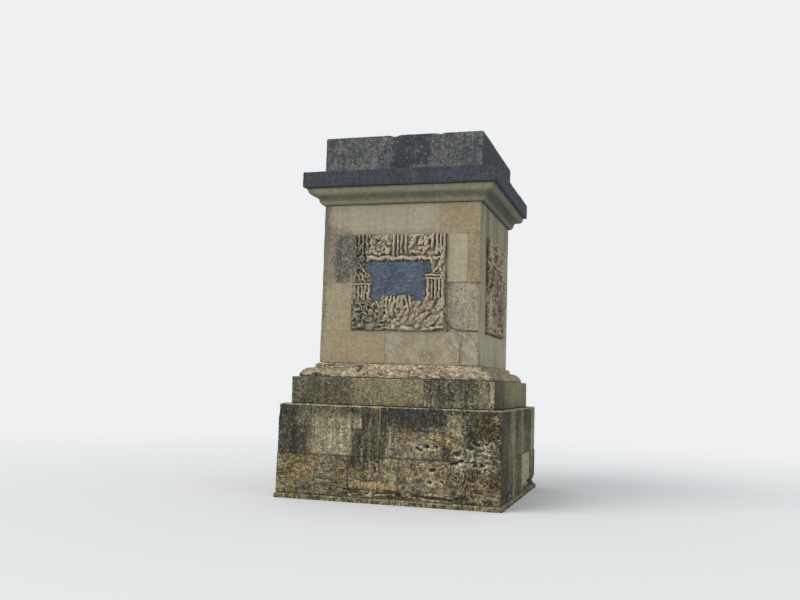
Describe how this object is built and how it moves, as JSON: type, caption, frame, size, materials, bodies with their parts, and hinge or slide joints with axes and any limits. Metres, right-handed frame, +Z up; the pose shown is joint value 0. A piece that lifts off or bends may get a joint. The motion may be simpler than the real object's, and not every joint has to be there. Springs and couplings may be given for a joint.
{
  "type": "obelisk pedestal",
  "caption": "Square classical pedestal of a truncated memorial obelisk in coursed limestone, with stepped base, carved panels round eared tablets, and a broad cornice.",
  "frame": {"origin": "centre of the square footprint at ground level", "axes": "+Z up; -Y out of the front, the side with the slate tablet; +X to the right as seen from the front"},
  "size_m": [3.3, 3.3, 5.306],
  "materials": {
    "footing_stone": "pale limestone slab, earth stained",
    "rubble": "rubble and lime mortar, hidden",
    "base_stone": "weathered limestone with black crust, pits and lichen",
    "step_stone": "weathered limestone, olive to black crust",
    "moulding_stone": "eroded limestone moulding",
    "die_stone": "smooth sawn and rubbed ochre limestone",
    "carved_stone": "deeply carved limestone, dark in the hollows",
    "slate": "blue-grey slate, rubbed",
    "tablet_stone": "plain dressed limestone",
    "cornice_stone": "moulded limestone, olive-grey",
    "crusted_stone": "limestone under black crust with pale lichen"
  },
  "bodies": {
    "root": {"footing_course": "footing_stone", "rubble_core": "rubble", "base_lower_left_stones": "base_stone", "base_lower_middle_stones": "base_stone", "base_lower_right_stones": "base_stone", "base_front_half_stones": "base_stone", "base_side_half_stones": "base_stone", "base_upper_left_stones": "base_stone", "base_upper_middle_stones": "base_stone", "base_upper_right_stones": "base_stone", "step_left_stones": "step_stone", "step_right_stones": "step_stone", "moulding_left_stones": "moulding_stone", "moulding_middle_stones": "moulding_stone", "moulding_right_stones": "moulding_stone", "die_first_left_stones": "die_stone", "die_first_right_stones": "die_stone", "die_second_left_stones": "die_stone", "die_second_right_stones": "die_stone", "die_third_left_stones": "die_stone", "die_third_right_stones": "die_stone", "die_fourth_left_stones": "die_stone", "die_fourth_right_stones": "die_stone", "front_panel_lower": "carved_stone", "right_panel_lower": "carved_stone", "back_panel_lower": "carved_stone", "left_panel_lower": "carved_stone", "front_panel_upper": "carved_stone", "right_panel_upper": "carved_stone", "back_panel_upper": "carved_stone", "left_panel_upper": "carved_stone", "front_tablet": "slate", "right_tablet": "tablet_stone", "back_tablet": "tablet_stone", "left_tablet": "tablet_stone", "cornice_left_stones": "cornice_stone", "cornice_middle_stones": "cornice_stone", "cornice_right_stones": "cornice_stone", "corona_left_stones": "crusted_stone", "corona_middle_stones": "crusted_stone", "corona_right_stones": "crusted_stone", "top_left_stones": "crusted_stone", "top_middle_stones": "crusted_stone", "top_right_stones": "crusted_stone", "shaft_bed": "crusted_stone"}
  },
  "joints": []
}
